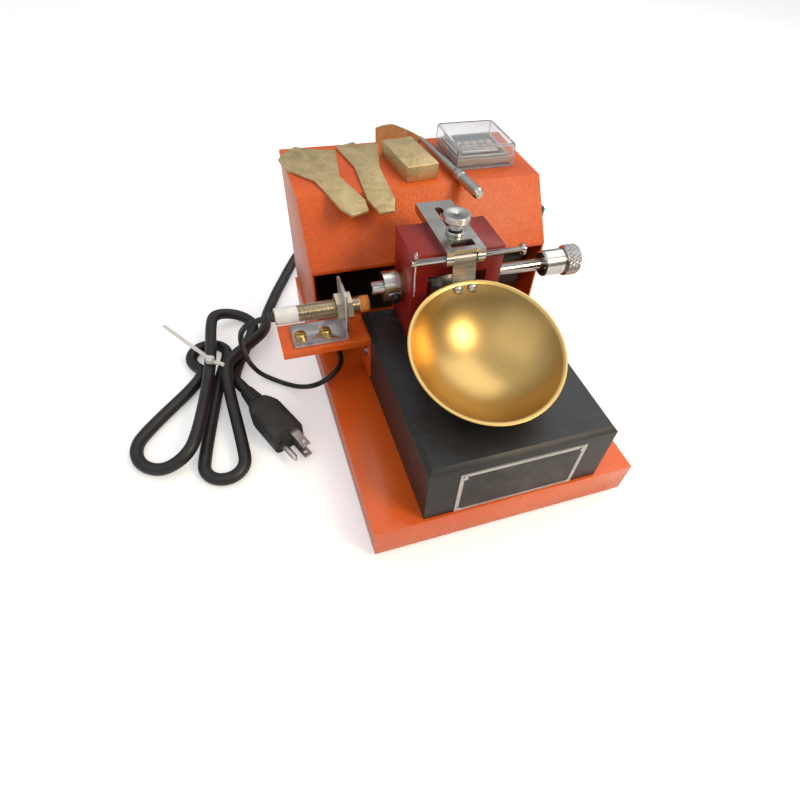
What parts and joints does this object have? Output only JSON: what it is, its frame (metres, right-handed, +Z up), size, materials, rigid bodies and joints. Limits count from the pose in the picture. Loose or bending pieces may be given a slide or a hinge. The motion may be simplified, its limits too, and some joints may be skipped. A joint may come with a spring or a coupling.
{
  "type": "liquid limit device",
  "caption": "Motor-driven liquid limit device: a hinged brass cup lifted by a cam over a hard rubber block, on a tray with a housing, a proximity sensor, a preset counter and loose tools.",
  "frame": {"origin": "on the bench, under the middle of the tray, on the rubber pad's underside", "axes": "+X to the right, towards the hand knob; +Y to the back; +Z up"},
  "size_m": [0.3416, 0.3651, 0.1637],
  "materials": {
    "orange_hammered": "hammered powder coat",
    "orange_gloss": "glossy",
    "red_paint": "semi-gloss",
    "hard_rubber": "satin hard rubber",
    "soft_rubber": "matte",
    "zinc_sheet": "satin",
    "nickel": "polished",
    "steel": "machined",
    "screw_steel": "zinc plated",
    "black_oxide": "black oxide",
    "bronze": "satin",
    "cup_brass": "satin with a bright rim",
    "tool_brass": "dull, stained",
    "screw_brass": "satin",
    "label_metal": "dark face with a bright border",
    "black_plastic": "moulded",
    "black_cord": "satin",
    "belt_rubber": "matte",
    "motor_black": "satin",
    "key_grey": "moulded",
    "green_plastic": "glossy",
    "clear_plastic": "clear with a warm tint",
    "orange_plastic": "smooth",
    "sensor_metal": "threaded, plated",
    "white_nylon": "smooth"
  },
  "bodies": {
    "frame": {"housing_shell": "orange_hammered", "back_panel": "orange_hammered", "base_tray": "orange_gloss", "sensor_shelf": "orange_gloss", "cam_bracket": "red_paint", "base_block": "hard_rubber", "rubber_pad": "soft_rubber", "cable_grommet": "soft_rubber", "base_plate": "zinc_sheet", "motor_bracket": "zinc_sheet", "sensor_bracket": "zinc_sheet", "plug_blades": "nickel", "sensor_nuts": "steel", "block_screws": "screw_steel", "bracket_screws": "screw_steel", "panel_screws": "screw_steel", "plate_rivets": "screw_steel", "shelf_screws": "screw_steel", "motor_screws": "screw_steel", "shaft_bushes": "bronze", "sensor_bracket_screws": "screw_brass", "name_plate": "label_metal", "switch_body": "black_plastic", "cord_gland": "black_plastic", "control_board": "black_plastic", "counter_body": "black_plastic", "mains_cord": "black_cord", "mains_hank": "black_cord", "sensor_cable": "black_cord", "mains_plug": "black_cord", "drive_belt": "belt_rubber", "gear_motor": "motor_black", "motor_gearbox": "motor_black", "sensor_tip": "orange_plastic", "sensor_body": "sensor_metal", "cable_tie": "white_nylon"},
    "slide": {"slide_plate": "nickel", "hinge_pin": "nickel", "cotter_pin": "nickel"},
    "cup_arm": {"cup": "cup_brass", "cup_hanger": "nickel", "cup_screws": "steel", "cam_follower": "steel"},
    "shaft": {"camshaft": "nickel", "cam": "steel", "set_screws": "black_oxide", "shaft_collar": "nickel", "hand_knob": "nickel", "driven_pulley": "steel"},
    "clamp": {"clamp_screw": "nickel"},
    "motor_drive": {"motor_pulley": "steel"},
    "rocker": {"switch_rocker": "green_plastic"},
    "keys": {"counter_keys": "key_grey"},
    "cover": {"counter_cover": "clear_plastic"},
    "wide_tool": {"grooving_tool_wide": "tool_brass"},
    "narrow_tool": {"grooving_tool_narrow": "tool_brass"},
    "gauge": {"gauge_block": "tool_brass"},
    "curved_tool": {"curved_tool_handle": "nickel", "curved_tool_blade": "tool_brass"}
  },
  "joints": [
    {"name": "camshaft_turn", "type": "hinge", "parent": "frame", "child": "shaft", "pos_m": [-0.0079, -0.00635, 0.1128], "axis": [1, 0, 0], "range_deg": [-135.2, 163.2]},
    {"name": "plate_slide", "type": "slide", "parent": "frame", "child": "slide", "axis": [0, -1, 0], "range_m": [0, 0.002]},
    {"name": "cup_lift", "type": "hinge", "parent": "slide", "child": "cup_arm", "pos_m": [-0.0079, -0.03265, 0.1449], "axis": [1, 0, 0], "range_deg": [-5.2, 4.3]},
    {"name": "clamp_turn", "type": "hinge", "parent": "frame", "child": "clamp", "pos_m": [-0.0079, -0.01585, 0.151], "axis": [0, 0, 1], "range_deg": [0, 90]},
    {"name": "motor_turn", "type": "hinge", "parent": "frame", "child": "motor_drive", "pos_m": [0.0041, 0.07, 0.07], "axis": [1, 0, 0], "range_deg": [-135.2, 163.2]},
    {"name": "rocker_tip", "type": "hinge", "parent": "frame", "child": "rocker", "pos_m": [0.091, 0.057, 0.111], "axis": [0, -1, 0], "range_deg": [0, 12]},
    {"name": "keys_press", "type": "slide", "parent": "frame", "child": "keys", "axis": [0, 0, -1], "range_m": [0, 0.001], "stiffness_N_per_m": 400, "springref_m": -0.0005},
    {"name": "cover_lift", "type": "slide", "parent": "frame", "child": "cover", "axis": [0, 0, 1], "range_m": [0, 0.06]},
    {"name": "wide_tool_lift", "type": "slide", "parent": "frame", "child": "wide_tool", "axis": [0, 0, 1], "range_m": [0, 0.06]},
    {"name": "narrow_tool_lift", "type": "slide", "parent": "frame", "child": "narrow_tool", "axis": [0, 0, 1], "range_m": [0, 0.06]},
    {"name": "gauge_lift", "type": "slide", "parent": "frame", "child": "gauge", "axis": [0, 0, 1], "range_m": [0, 0.06]},
    {"name": "curved_tool_lift", "type": "slide", "parent": "frame", "child": "curved_tool", "axis": [0, 0, 1], "range_m": [0, 0.06]}
  ],
  "couplings": [
    {"joint": "camshaft_turn", "follows": "cup_lift", "ratio": -31.368},
    {"joint": "motor_turn", "follows": "cup_lift", "ratio": -31.368}
  ]
}
